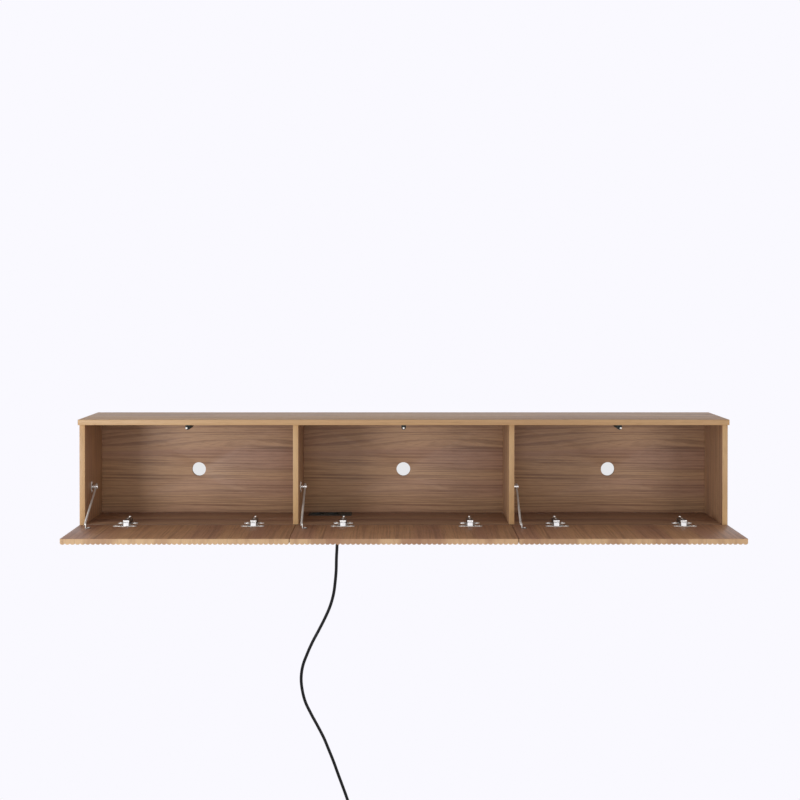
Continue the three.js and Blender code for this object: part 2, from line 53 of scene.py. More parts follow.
# %% [markdown]
# The camera comes first. A long lens from nearly five metres keeps the boards straight. The camera
# looks almost level, its picture shifted down instead of tilted, as a furniture photographer does to
# keep the sides upright.

# %% Set up the camera
bpy.ops.object.camera_add(location=(-0.0150, -5.1555, 0.4246),
                          rotation=(math.pi / 2 - 0.0123, 0, -0.0010))
camera = bpy.context.object
camera.name = "studio_camera"
camera.data.sensor_width = 36
camera.data.lens = 78.74
camera.data.shift_y = -0.0949
camera.data.clip_end = 50
bpy.context.scene.camera = camera
print("lens:", camera.data.lens, "mm")

# %% [markdown]
# Most steps below start from a clean selection, shape one piece in edit mode and put its place into
# its mesh. Small helpers keep those steps short: they clear the selection, settle a new primitive,
# select faces or edges by a test, apply a modifier at once, cut or weld two solids, and attach a
# finished piece to what it rides on and hide the solids it replaces.

# %% Helpers for modelling
def deselect():
    """Leave edit mode and select nothing."""
    if bpy.context.object and bpy.context.object.mode != "OBJECT":
        bpy.ops.object.mode_set(mode="OBJECT")
    bpy.ops.object.select_all(action="DESELECT")


def work_on(piece):
    deselect()
    piece.select_set(True)
    bpy.context.view_layer.objects.active = piece


def settle(name):
    """Name the new primitive and move its place into its mesh."""
    piece = bpy.context.object
    bpy.ops.object.transform_apply(location=True, rotation=True, scale=True)
    piece.name = name
    piece.data.name = name
    return piece


def block(name, low, high):
    deselect()
    low, high = Vector(low), Vector(high)
    bpy.ops.mesh.primitive_cube_add(size=1, location=(low + high) / 2, scale=high - low)
    return settle(name)


def sheet(name, centre, width, depth):
    """A flat, level rectangle."""
    deselect()
    bpy.ops.mesh.primitive_plane_add(size=1, location=centre)
    bpy.context.object.scale = (width, depth, 1)
    return settle(name)


def rod(name, start, end, radius, sides=32):
    deselect()
    start, end = Vector(start), Vector(end)
    turn = (end - start).to_track_quat("Z", "Y").to_euler()
    bpy.ops.mesh.primitive_cylinder_add(vertices=sides, radius=radius, depth=(end - start).length,
                                        location=(start + end) / 2, rotation=turn)
    return settle(name)


def edit(piece, kind, test):
    """Open the piece in edit mode with only the faces or edges selected that pass the test."""
    work_on(piece)
    mesh = piece.data
    for group in (mesh.vertices, mesh.edges, mesh.polygons):
        group.foreach_set("select", [False] * len(group))
    if kind == "FACE":
        for face in mesh.polygons:
            face.select = bool(test(face.center, face.normal))
    else:
        for edge in mesh.edges:
            a, b = (mesh.vertices[i].co for i in edge.vertices)
            edge.select = bool(test(a, b))
    bpy.ops.object.mode_set(mode="EDIT")
    bpy.ops.mesh.select_mode(type=kind)


def in_plane(axis, value):
    """A test for edges that lie in the plane where this coordinate has this value."""
    return lambda a, b: abs(a[axis] - value) < 1e-6 and abs(b[axis] - value) < 1e-6


def above(height):
    return lambda a, b: a.z > height and b.z > height


def upright_edge(a, b):
    return abs(a.z - b.z) > 0.5 * MM


def bevel(piece, test, width, segments):
    """Round only the edges that pass the test."""
    edit(piece, "EDGE", test)
    bpy.ops.mesh.bevel(offset=width, segments=segments, affect="EDGES")
    deselect()


def modify(piece, kind, **settings):
    """Add a modifier, set it and apply it at once."""
    work_on(piece)
    modifier = piece.modifiers.new(kind.title(), kind)
    for key, value in settings.items():
        setattr(modifier, key, value)
    bpy.ops.object.modifier_apply(modifier=modifier.name)


def smooth(piece, angle=35):
    """Shade smoothly, except across edges sharper than the angle."""
    work_on(piece)
    bpy.ops.object.shade_smooth_by_angle(angle=math.radians(angle))


def soften(piece, width, segments=2, angle=30):
    """Round every edge sharper than the angle, then shade smoothly across the rounding."""
    modify(piece, "BEVEL", width=width, segments=segments, limit_method="ANGLE",
           angle_limit=math.radians(angle), harden_normals=False)
    smooth(piece)


def discard(*pieces):
    for piece in pieces:
        bpy.data.objects.remove(piece)


def cut(piece, tool, operation="DIFFERENCE"):
    """Take the tool's shape out of the piece."""
    modify(piece, "BOOLEAN", object=tool, operation=operation, solver="EXACT")
    discard(tool)


def weld(piece, tool):
    """Make the piece and the tool one solid."""
    cut(piece, tool, "UNION")


def join(first, *others):
    work_on(first)
    for other in others:
        other.select_set(True)
    bpy.ops.object.join()
    return first


def twin(piece, name, move):
    """A copy with a mesh of its own, moved to its place."""
    work_on(piece)
    bpy.ops.object.duplicate(linked=False)
    bpy.ops.transform.translate(value=Vector(move))
    return settle(name)


def middle(node):
    low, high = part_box(node)
    return (low + high) / 2


def declare(piece, body, slot, *replaced):
    """Say what a piece rides on and which solids it replaces; the slot is not used."""
    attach(piece, body)
    for node in replaced:
        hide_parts(node)


# %% [markdown]
# A mains cord is a fixed length of round black cable. It leaves the power unit straight down through
# its gland, swings a little to one side because it was rolled up in its box, and hangs. The photograph
# stops before its end, so the rest is tied in a neat coil just below the picture, with the plug beside
# it. One bezier curve follows the same points as the solid model, so both stay in the same place.

# %% Route the cord
cord_diameter = 9 * MM
unit_low, unit_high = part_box("power_unit")
unit_y = (unit_low.y + unit_high.y) / 2
gland_tip = Vector((-193 * MM, unit_y, unit_low.z))
hang = [
    (0, 0, 0), (0, 0, -20), (-2, 3, -58), (-3, 7, -94), (-6, 11, -129), (-11, 14, -165),
    (-21, 18, -201), (-36, 21, -236), (-54, 25, -272), (-73, 28, -308), (-89, 32, -344),
    (-102, 36, -380), (-107, 39, -416), (-104, 42, -452), (-95, 45, -488), (-78, 46, -524),
    (-59, 46, -559), (-41, 46, -594), (-26, 46, -630), (-12, 46, -665), (1, 46, -701),
    (14, 46, -736), (27, 46, -772), (37, 46, -803), (41, 46, -830), (42, 46, -852),
]
joint_gap = 0.3 * MM
route = [gland_tip + Vector(p) * MM - Vector((0, 0, joint_gap)) for p in hang]

coil_radius, turn_pitch, layer_pitch = 54 * MM, 11 * MM, 10 * MM
spiral_turns, climb_turns, steps_per_turn = 1.25, 0.5, 24
entry = route[-1] - Vector((0, 0, joint_gap + cord_diameter))
turns = 2 * spiral_turns + climb_turns
for i in range(round(turns * steps_per_turn) + 1):
    turn = i / steps_per_turn
    inwards = min(turn, spiral_turns, turns - turn)
    climb = min(max((turn - spiral_turns) / climb_turns, 0), 1)
    radius = coil_radius - turn_pitch * inwards
    angle = -2 * math.pi * turn
    route.append(Vector((entry.x - coil_radius + radius * math.cos(angle),
                         entry.y - layer_pitch * climb,
                         entry.z + radius * math.sin(angle))))
tail = 50 * MM
route += [Vector((route[-1].x, route[-1].y, entry.z - tail * share)) for share in (0.5, 1)]
print("route points:", len(route), "lowest", round(min(p.z for p in route), 3))

# %% Draw the cord as one round curve
line = bpy.data.curves.new("mains_cord", "CURVE")
line.dimensions = "3D"
line.resolution_u = 6
line.bevel_depth = 1.0
line.bevel_resolution = 4
line.use_fill_caps = True
spline = line.splines.new("BEZIER")
spline.bezier_points.add(len(route) - 1)
for i, point in enumerate(spline.bezier_points):
    before, here, after = route[max(i - 1, 0)], route[i], route[min(i + 1, len(route) - 1)]
    heading = (after - before).normalized()
    point.handle_left_type = point.handle_right_type = "FREE"
    point.co = here
    point.radius = cord_diameter / 2
    point.handle_left = here - heading * (here - before).length / 3
    point.handle_right = here + heading * (after - here).length / 3
mains_cord = bpy.data.objects.new("mains_cord", line)
bpy.context.scene.collection.objects.link(mains_cord)
bpy.context.view_layer.update()

# %% [markdown]
# The plug is one soft moulding round two metal pins. It starts as a flat disc, which is extruded and
# scaled ring by ring, so that it has a waist for the fingers and a thin, ribbed neck that keeps the
# cord from kinking. The hinge cups and the cord's gland are made in the same way further down.

# %% Turn round pieces by extruding rings
def turned(name, tip, rings, sides=48):
    """A closed round piece on a vertical axis: rings are (radius, height above the tip) in mm."""
    deselect()
    rings = [(radius * MM, height * MM) for radius, height in rings]
    radius, height = rings[0]
    place = Vector(tip) + Vector((0, 0, height))
    bpy.ops.mesh.primitive_circle_add(vertices=sides, radius=radius, fill_type="NGON", location=place)
    bpy.ops.object.mode_set(mode="EDIT")
    bpy.ops.mesh.select_all(action="SELECT")
    for next_radius, next_height in rings[1:]:
        bpy.ops.mesh.extrude_region_move(TRANSFORM_OT_translate={"value": (0, 0, next_height - height)})
        share = next_radius / radius
        bpy.ops.transform.resize(value=(share, share, 1), center_override=(place.x, place.y, 0))
        radius, height = next_radius, next_height
    bpy.ops.mesh.select_all(action="SELECT")
    bpy.ops.mesh.normals_make_consistent(inside=False)
    deselect()
    bpy.context.view_layer.objects.active.select_set(True)
    return settle(name)


plug_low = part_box("cord_plug")[0]
plug_axis = Vector((route[-1].x, route[-1].y, plug_low.z))
neck, neck_ribs, neck_rib_pitch = [(7.0, 53)], 5, 3.4
for ring in range(neck_ribs):
    start = 55.0 + ring * neck_rib_pitch
    rib, dip = 6.9 - ring * 0.42, 5.6 - ring * 0.25
    neck += [(rib, start), (rib, start + 1.8), (dip, start + 2.1), (dip, start + 3.1)]
plug_rings = [(9.6, 19), (11.6, 19.5), (12.8, 21.5), (13, 24), (12.4, 28), (11.4, 33), (11.2, 36),
              (11.8, 41), (12.4, 45), (12, 48), (10, 51), (8, 52.6), *neck, (4.6, 72.6)]
cord_plug = turned("plug_body", plug_axis, plug_rings)
smooth(cord_plug, 40)
print("plug:", [round(v * 1000, 1) for v in cord_plug.dimensions], "mm")

# %% Add the plug's two pins
pin_offset, pin_length, pin_radius = 9.5 * MM, 20 * MM, 2.4 * MM
plug_pins = []
for side in (-1, 1):
    x, y = plug_axis.x + side * pin_offset, plug_axis.y
    pin = rod("plug_pin", (x, y, plug_low.z), (x, y, plug_low.z + pin_length), pin_radius, 24)
    soften(pin, 0.6 * MM, 3)
    plug_pins.append(pin)
plug_contacts = join(*plug_pins)

# %% [markdown]
# The coil is held by a hook-and-loop tie, a soft strap that goes once round the bundle of turns. It is
# a short sleeve with a wall of its own, so it starts as an open cylinder and gets its thickness from
# the solidify modifier. It sits at the top of the coil, where the turns lie side by side.

# %% Wrap the tie round the coil
tie_width, tie_radius, tie_rise = 16 * MM, 13.2 * MM, 45.75 * MM
deselect()
bpy.ops.mesh.primitive_cylinder_add(
    vertices=32, radius=1, depth=tie_width, end_fill_type="NOTHING", rotation=(0, math.pi / 2, 0),
    location=(entry.x - coil_radius, entry.y - layer_pitch / 2, entry.z + tie_rise),
    scale=(tie_radius, tie_radius, 1))
coil_tie = settle("coil_tie")
modify(coil_tie, "SOLIDIFY", thickness=1.0 * MM, offset=-1)
soften(coil_tie, 0.3 * MM)
print("tie:", [round(v * 1000, 1) for v in coil_tie.dimensions], "mm")

# %% [markdown]
# The cabinet is made of 15 mm particle board under a wood-look foil. No saw and no edge bander leaves
# a knife edge, so each board starts as a block of the solid's size and gets a very small rounding,
# which catches the light along every edge. Booleans cut the cable hole in each back panel and the
# opening for the power unit in the floor.

# %% Build the boards
board_rounding = 0.35 * MM
boards = {}


def board(node, *cutters):
    piece = block(node + "_board", *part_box(node))
    for cutter in cutters:
        cut(piece, cutter)
    soften(piece, board_rounding)
    declare(piece, "cabinet", "cabinet_wood", node)
    boards[node] = piece


for node in ["top_panel", "left_side_panel", "right_side_panel", "left_divider", "right_divider"]:
    board(node)

hole_radius, drill_reach, saw_play = 20 * MM, 0.03, 0.3 * MM
hole_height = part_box("bottom_panel")[1].z + 127.5 * MM
back_y = middle("middle_back_panel").y
for bay in bays:
    hole_x = middle(f"{bay}_flap").x
    drill = rod("drill", (hole_x, back_y - drill_reach, hole_height),
                (hole_x, back_y + drill_reach, hole_height), hole_radius, 96)
    board(f"{bay}_back_panel", drill)

unit_rim = 4 * MM
saw = block("saw",
            (unit_low.x + unit_rim - saw_play, unit_low.y + unit_rim - saw_play, unit_high.z - 0.05),
            (unit_high.x - unit_rim + saw_play, unit_high.y - unit_rim + saw_play, unit_high.z + 0.05))
board("bottom_panel", saw)
print("boards:", len(boards))

# %% [markdown]
# Each flap is a board whose outside is milled into half-round ribs, which run from its top edge to its
# bottom edge when it is closed. Spinning one edge round the rib's centre gives an exact arc. An array
# repeats that strip across the flap, and its rim is then closed with four walls and the flat inner face.
# Each flap is a hair wider than its solid, because the real gaps between the flaps look very narrow.

# %% Spin one rib and repeat it
flap_low, flap_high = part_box("middle_flap")
widening = 0.35 * MM
flap_low.x, flap_high.x = flap_low.x - widening, flap_high.x + widening
rib_count, groove, rib_height = 45, 1 * MM, 3 * MM
rib_pitch = (flap_high.x - flap_low.x) / rib_count
rib_chord = rib_pitch - groove
rib_radius = (rib_chord ** 2 / 4 + rib_height ** 2) / (2 * rib_height)
rib_spread = math.asin(rib_chord / 2 / rib_radius)
groove_z = flap_low.z + rib_height
middle_y = (flap_low.y + flap_high.y) / 2

flap_width, flap_depth = flap_high.x - flap_low.x, flap_high.y - flap_low.y
reeded_flap = sheet("reeded_flap", (flap_low.x + groove / 4, middle_y, groove_z), groove / 2, flap_depth)
foot_x = flap_low.x + groove / 2
edit(reeded_flap, "EDGE", in_plane(0, foot_x))
bpy.ops.mesh.spin(steps=10, angle=2 * rib_spread, axis=(0, 1, 0),
                  center=(foot_x + rib_chord / 2, middle_y, flap_low.z + rib_radius))
bpy.ops.mesh.extrude_region_move(TRANSFORM_OT_translate={"value": (groove / 2, 0, 0)})
modify(reeded_flap, "ARRAY", count=rib_count, use_relative_offset=False, use_constant_offset=True,
       constant_offset_displace=(rib_pitch, 0, 0), use_merge_vertices=True, merge_threshold=1e-5)
print("ribs:", rib_count, "pitch:", round(rib_pitch * 1000, 2), "mm")

# %% Close the flap behind its ribs
inner_face = sheet("inner_face", ((flap_low.x + flap_high.x) / 2, middle_y, flap_high.z),
                   flap_width, flap_depth)
join(reeded_flap, inner_face)
for axis, value in ((0, flap_low.x), (0, flap_high.x), (1, flap_low.y), (1, flap_high.y)):
    edit(reeded_flap, "EDGE", in_plane(axis, value))
    bpy.ops.mesh.edge_face_add()
bpy.ops.mesh.select_all(action="SELECT")
bpy.ops.mesh.remove_doubles(threshold=1e-5)
bpy.ops.mesh.normals_make_consistent(inside=False)
bevel(reeded_flap, in_plane(2, flap_high.z), 0.5 * MM, 2)
smooth(reeded_flap, 30)
print("flap:", [round(v * 1000, 1) for v in reeded_flap.dimensions], "mm")

# %% Copy the flap and bore it for the hinge cups
cup_setback, bore_radius = 18.3 * MM, 17.5 * MM
flaps = []
for bay in bays:
    move = middle(f"{bay}_flap") - middle("middle_flap")
    piece = twin(reeded_flap, f"{bay}_flap_panel", move)
    for letter in "ab":
        low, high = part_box(f"{bay}_hinge_{letter}_cup")
        place = Vector(((low.x + high.x) / 2, low.y + cup_setback, 0))
        bore = rod("bore", place + Vector((0, 0, low.z - 0.2 * MM)), place + Vector((0, 0, high.z + 0.01)),
                   bore_radius, 64)
        cut(piece, bore)
    smooth(piece, 30)
    declare(piece, f"{bay}_flap", "flap_wood", f"{bay}_flap")
    flaps.append(piece)
discard(reeded_flap)

# %% [markdown]
# Every fitting is held by the same small countersunk screw. Its cross recess is cut once with two
# crossed bars, and the finished screw is copied, turned and moved to each hole, each time with a mesh
# of its own. Real screws never stop at the same angle, so each copy also gets a turn of its own.

# %% Make one screw
screw_radius, screw_height = 3.6 * MM, 1.1 * MM
screw = rod("screw", (0, 0, 0), (0, 0, screw_height), screw_radius)
bevel(screw, above(0.9 * screw_height), 0.5 * MM, 3)
for long_x, long_y in ((2.1, 0.45), (0.45, 2.1)):
    bar = block("bar", (-long_x * MM, -long_y * MM, 0.35 * MM), (long_x * MM, long_y * MM, 2 * MM))
    cut(screw, bar)
smooth(screw)
screws_placed = 0


def screw_at(place, normal=(0, 0, 1)):
    """A copy of the screw whose head stands on this point, facing this way."""
    global screws_placed
    screws_placed += 1
    deselect()
    copy = bpy.data.objects.new("screw_copy", screw.data.copy())
    bpy.context.scene.collection.objects.link(copy)
    facing = Vector(normal).to_track_quat("Z", "Y").to_matrix().to_4x4()
    spin = Matrix.Rotation(0.7 + 1.9 * screws_placed, 4, "Z")
    copy.data.transform(Matrix.Translation(Vector(place)) @ facing @ spin)
    return copy


# %% [markdown]
# Flat metal fittings keep the solid's outline and only lose their sharp edges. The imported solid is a
# loose heap of triangles, so a copy of it is merged and its flat faces are dissolved into whole faces
# first. Then the bevel modifier can see the true edges and round them.

# %% Round and place copies of the solids
def rounded_copy(node, name, width, segments=2):
    deselect()
    piece = bpy.data.objects.new(name, nodes[node].data.copy())
    piece.data.name = name
    piece.data.materials.clear()
    bpy.context.scene.collection.objects.link(piece)
    work_on(piece)
    bpy.ops.object.mode_set(mode="EDIT")
    bpy.ops.mesh.select_all(action="SELECT")
    bpy.ops.mesh.remove_doubles(threshold=1e-6)
    bpy.ops.mesh.dissolve_limited(angle_limit=math.radians(0.5))
    deselect()
    soften(piece, width, segments)
    return piece


fittings = []


def finish_fitting(piece, name, body, slot, *replaced):
    fittings.append((piece, slot))
    piece.name = name
    piece.data.name = name
    declare(piece, body, slot, *replaced)


def place_copy(master, source, node, body, slot):
    """Copy a master that was shaped on one solid to another one, which the copy replaces."""
    piece = twin(master, f"{node}_fitting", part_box(node)[0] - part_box(source)[0])
    finish_fitting(piece, f"{node}_fitting", body, slot, node)


# %% [markdown]
# A concealed hinge has a deep-drawn cup that is pressed into a 35 mm bore in the flap. Its flange lies
# on the flap and has two wings for the screws, set off from the cup's centre. The cup is a turned
# shell, and a slot through its wall lets the link swing out when the flap moves. The wall ends inside
# the flange's thickness, because a union of faces in one plane can come out differently each time.

# %% Shape the hinge cup
low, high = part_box("left_hinge_a_cup")
cup_x, cup_y, cup_top = (low.x + high.x) / 2, low.y + cup_setback, high.z
cup = turned("cup", (cup_x, cup_y, low.z),
             [(16.3, 0), (17.3, 1), (17.3, 11.8), (15.5, 11.8), (15.5, 2.0), (14.8, 1.3)], 64)
wing_half, wing_front, wing_rear, flange_wall = 32.5 * MM, 17 * MM, 1 * MM, 1 * MM
disc_radius, mouth_radius, reach = 18.3 * MM, 16.2 * MM, 5 * MM
flange = block("flange", (cup_x - wing_half, cup_y - wing_front, cup_top - flange_wall),
               (cup_x + wing_half, cup_y - wing_rear, cup_top))
bevel(flange, upright_edge, 6 * MM, 8)
weld(flange, rod("disc", (cup_x, cup_y, cup_top - flange_wall), (cup_x, cup_y, cup_top),
                 disc_radius, 64))
cut(flange, rod("mouth", (cup_x, cup_y, cup_top - reach), (cup_x, cup_y, cup_top + reach),
                mouth_radius, 64))
weld(cup, flange)
link_low, link_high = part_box("left_hinge_a_link")
link_flare = 1.16
link_half = link_flare * (link_high.x - link_low.x) / 2
notch_half = link_half + 0.6 * MM
cut(cup, block("notch", (cup_x - notch_half, cup_y + 10 * MM, cup_top - 9.2 * MM),
               (cup_x + notch_half, cup_y + 20 * MM, cup_top + 1 * MM)))
soften(cup, 0.2 * MM, 2, 40)

# %% Add the cup's pins and screws
pin_y, pin_z = cup_y + 12 * MM, cup_top - 4.2 * MM
stub_start, stub_end, stub_radius = link_half + 0.3 * MM, 10.4 * MM, 1.5 * MM
stub_pins = [rod("stub", (cup_x + s * stub_start, pin_y, pin_z), (cup_x + s * stub_end, pin_y, pin_z),
                 stub_radius, 20) for s in (-1, 1)]
cup_screws = [screw_at((cup_x + s * 24 * MM, cup_y - 9 * MM, cup_top - 0.3 * MM)) for s in (-1, 1)]
cup = join(cup, *stub_pins, *cup_screws)
print("cup:", [round(v * 1000, 1) for v in cup.dimensions], "mm,", len(cup.data.polygons), "faces")

# %% [markdown]
# The hinge arm is a folded steel channel that clips onto a cross-shaped plate on the cabinet's floor.
# Its nose is a cap over two cheeks, which hold the pin of the link. A slim release lever lies along its
# back and catches the light, with a depth screw on either side of it, and the link flares at its foot.

# %% Shape the link
link = rounded_copy("left_hinge_a_link", "link", 0.4 * MM)
arm_low, arm_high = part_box("left_hinge_a_arm")
edit(link, "FACE", lambda centre, normal: centre.z < arm_low.z)
bpy.ops.transform.resize(value=(link_flare, 1, 1), center_override=((link_low.x + link_high.x) / 2, 0, 0))
deselect()

# %% Shape the arm
arm_x, arm_back, arm_top = (arm_low.x + arm_high.x) / 2, arm_high.y, arm_high.z
arm = rounded_copy("left_hinge_a_arm", "arm", 0.5 * MM, 3)
cap_height, cheek_half, nose_length = 3.6 * MM, 7.2 * MM, 17 * MM
for side in (-1, 1):
    inner, outer = arm_x + side * cheek_half, arm_x + side * 10 * MM
    cut(arm, block("shave", (min(inner, outer), arm_low.y - MM, arm_low.z - MM),
                   (max(inner, outer), arm_low.y + nose_length, arm_top - cap_height)))
smooth(arm)

lever_half, lever_depth, lever_start, lever_slope = 2.4 * MM, 3 * MM, 18 * MM, 3 * MM
lever = block("lever", (arm_x - lever_half, arm_low.y + lever_start, arm_top - lever_depth),
              (arm_x + lever_half, arm_back - 1 * MM, arm_top + 1.0 * MM))
edit(lever, "EDGE", lambda a, b: a.y + b.y < 2 * (arm_low.y + 19 * MM) and a.z + b.z > 2 * arm_top)
bpy.ops.transform.translate(value=(0, lever_slope, 0))
deselect()
weld(lever, block("thumb_tab", (arm_x - lever_half, arm_back - 3.2 * MM, arm_top - lever_depth),
                  (arm_x + lever_half, arm_back - 1.4 * MM, arm_top + 2.8 * MM)))
soften(lever, 0.5 * MM, 3)
arm_tilt = (0, 0.046, 1)
arm_screws = [screw_at((arm_x + side * 5.2 * MM, arm_back - 30 * MM, arm_top - 1.9 * MM), arm_tilt)
              for side in (-1, 1)]
arm = join(arm, lever, *arm_screws)

# %% Shape the mounting plate
plate = rounded_copy("left_hinge_a_plate", "plate", 0.5 * MM, 3)
low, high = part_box("left_hinge_a_plate")
plate_x, plate_y, plate_top = (low.x + high.x) / 2, (low.y + high.y) / 2, high.z
pad_offset, pad_radius, pad_height, pad_stretch = 18.2 * MM, 6.4 * MM, 1.0 * MM, 1.35
pads = []
for side in (-1, 1):
    pad_x, pad_y = plate_x + side * pad_offset, plate_y - 5 * MM
    pad = rod("pad", (pad_x, pad_y, low.z), (pad_x, pad_y, plate_top + pad_height), pad_radius, 48)
    bevel(pad, above(plate_top + pad_height / 2), 0.6 * MM, 3)
    edit(pad, "FACE", lambda centre, normal: True)
    bpy.ops.transform.resize(value=(pad_stretch, 1, 1), center_override=(pad_x, 0, 0))
    smooth(pad, 40)
    pads += [pad, screw_at((pad_x, pad_y, plate_top + 0.9 * MM))]
plate = join(plate, *pads)
print("arm faces:", len(arm.data.polygons), "plate faces:", len(plate.data.polygons))

# %% Copy each hinge to its place
for bay in bays:
    for hinge in (f"{bay}_hinge_a", f"{bay}_hinge_b"):
        for part, master, body in (("cup", cup, f"{bay}_flap"), ("arm", arm, "cabinet"),
                                   ("plate", plate, "cabinet"), ("link", link, f"{hinge}_link")):
            place_copy(master, f"left_hinge_a_{part}", f"{hinge}_{part}", body, "hinge_nickel")
discard(cup, arm, plate, link)

# %% [markdown]
# A sliding stay at the left of each bay keeps the flap from dropping past level. A bright rod is
# pinned to a foot on the flap and slides through a small barrel, which turns on a bracket on the
# wall. A stop collar behind the barrel ends its travel. All of it is turned or flat metal.

# %% Shape the stay
low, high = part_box("left_stay_swivel")
barrel_radius = (high.y - low.y) / 2
barrel_y, barrel_z = (low.y + high.y) / 2, (low.z + high.z) / 2
rod_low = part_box("left_stay_rod")[0]
rod_radius, rod_bore_radius = 2.9 * MM, 3.2 * MM
rod_x = low.x + 8.1 * MM
rod_end = Vector((rod_x, rod_low.y + rod_radius, rod_low.z + rod_radius))
pivot = Vector((rod_x, barrel_y, barrel_z))
along = (rod_end - pivot).normalized()

barrel = rod("barrel", (low.x, barrel_y, barrel_z), (high.x, barrel_y, barrel_z), barrel_radius, 64)
cut(barrel, rod("stud_bore", (low.x - MM, barrel_y, barrel_z), (low.x + 4.3 * MM, barrel_y, barrel_z),
                3.3 * MM))
cut(barrel, rod("rod_bore", pivot - along * 0.02, pivot + along * 0.02, rod_bore_radius))
soften(barrel, 0.5 * MM, 3, 40)

stop_start = pivot - along * (barrel_radius + 0.3 * MM)
stop_end = pivot - along * (barrel_radius + 6.3 * MM)
slide_rod = rod("slide_rod", stop_end, rod_end - along * 9 * MM, rod_radius)
stop = rod("stop", stop_start, stop_end, 4.2 * MM)
soften(stop, 0.6 * MM, 3)
eye_half = 1.5 * MM
eye = rod("eye", rod_end - Vector((eye_half, 0, 0)), rod_end + Vector((eye_half, 0, 0)), rod_radius)
shank = block("shank", (-eye_half, 0, -rod_radius), (eye_half, 13 * MM, rod_radius))
shank.data.transform(Matrix.Translation(rod_end)
                     @ Matrix.Rotation(math.atan2(-along.z, -along.y), 4, "X"))
weld(eye, shank)
soften(eye, 0.4 * MM)
slide_rod = join(slide_rod, stop, eye)
smooth(slide_rod)

# %% Add the stay's bracket and foot
bracket = rounded_copy("left_stay_bracket", "bracket", 0.4 * MM)
bracket_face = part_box("left_stay_bracket")[0].x + 1.5 * MM
bracket = join(bracket, *[screw_at((bracket_face, barrel_y, barrel_z + s * 11 * MM), (1, 0, 0))
                          for s in (-1, 1)])
foot = rounded_copy("left_stay_foot", "foot", 0.35 * MM)
low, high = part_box("left_stay_foot")
foot = join(foot, screw_at((high.x - 5.5 * MM, (low.y + high.y) / 2, low.z + 1.5 * MM)))

# %% Copy each stay to its place
for bay in bays:
    for part, master, body, slot in (("bracket", bracket, "cabinet", "hinge_nickel"),
                                     ("swivel", barrel, f"{bay}_stay_swivel", "hinge_nickel"),
                                     ("rod", slide_rod, f"{bay}_stay_rod", "stay_steel"),
                                     ("foot", foot, f"{bay}_flap", "hinge_nickel")):
        place_copy(master, f"left_stay_{part}", f"{bay}_stay_{part}", body, slot)
discard(bracket, barrel, slide_rod, foot)

# %% [markdown]
# A push latch under the top board catches each flap: a press on the closed flap releases it. The
# housing is a black moulding with a round belly. Its plunger is black too and carries a bright tip,
# the only part that shows as a small spark under the board.

# %% Shape the latches
front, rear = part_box("middle_latch_plunger")
axis = middle("middle_latch_plunger")
housing = rounded_copy("middle_latch_housing", "housing", 0.5 * MM, 3)
shaft = rod("shaft", (axis.x, front.y + 5.5 * MM, axis.z), (axis.x, rear.y, axis.z), 3.4 * MM)
soften(shaft, 0.5 * MM)
tip = rod("tip", (axis.x, front.y, axis.z), (axis.x, front.y + 6 * MM, axis.z), 2.8 * MM)
soften(tip, 0.7 * MM, 3)
for bay in bays:
    case, plunger = f"{bay}_latch_housing", f"{bay}_latch_plunger"
    move = middle(case) - middle("middle_latch_housing")
    for master, node, ending, body, slot in ((housing, case, "_fitting", "cabinet", "black_plastic"),
                                             (shaft, plunger, "_fitting", plunger, "black_plastic"),
                                             (tip, plunger, "_tip", plunger, "stay_steel")):
        finish_fitting(twin(master, node + ending, move), node + ending, body, slot, node)
discard(housing, shaft, tip)

# %% [markdown]
# A power unit is let into the floor of the middle bay, close to the back. From the front only its
# thin black rim shows. Its top has two round socket wells and two small charging ports, cut with
# booleans, and below the floor its body ends in the ribbed gland that lets the cord out.

# %% Shape the power unit
rim_low = Vector((unit_low.x, unit_low.y, unit_high.z - 1.5 * MM))
bezel = block("bezel", rim_low, unit_high)
bevel(bezel, upright_edge, 3 * MM, 6)
unit_base = unit_low.z + 30 * MM
body = block("unit_body", (unit_low.x + unit_rim, unit_low.y + unit_rim, unit_base),
             (unit_high.x - unit_rim, unit_high.y - unit_rim, unit_high.z - 0.5 * MM))
weld(body, bezel)
unit_top = unit_high.z
well_depth, well_radius, port_depth = 13 * MM, 19.5 * MM, 9 * MM
for well_x in (27, 70):
    x = unit_low.x + well_x * MM
    cut(body, rod("well", (x, unit_y, unit_top - well_depth), (x, unit_y, unit_top + MM), well_radius, 64))
    for s in (-1, 1):
        cut(body, rod("pin_hole", (x + s * pin_offset, unit_y, unit_top - pin_length),
                      (x + s * pin_offset, unit_y, unit_top), 2.5 * MM, 24))
for s in (-1, 1):
    x, y = unit_low.x + 107 * MM, unit_y + s * 14 * MM
    cut(body, block("port", (x - 6.5 * MM, y - 3 * MM, unit_top - port_depth),
                    (x + 6.5 * MM, y + 3 * MM, unit_top + MM)))
soften(body, 0.3 * MM, 2, 40)

gland_rings, gland_ribs, gland_rib_pitch = [(4.9, 0.0), (5.5, 0.6)], 6, 4.2
for ring in range(gland_ribs):
    start = 1.6 + ring * gland_rib_pitch
    wide = 5.5 + 2.5 * start / 30
    gland_rings += [(wide, start), (wide, start + 2.4),
                    (wide - 0.9, start + 2.8), (wide - 0.8, start + 3.8)]
gland = turned("gland", gland_tip, gland_rings + [(7.9, 27.5), (8, 30.5)])
smooth(gland, 40)
power_unit = join(body, gland)
finish_fitting(power_unit, "power_unit_body", "cabinet", "black_plastic", "power_unit")
print("power unit:", [round(v * 1000, 1) for v in power_unit.dimensions], "mm")

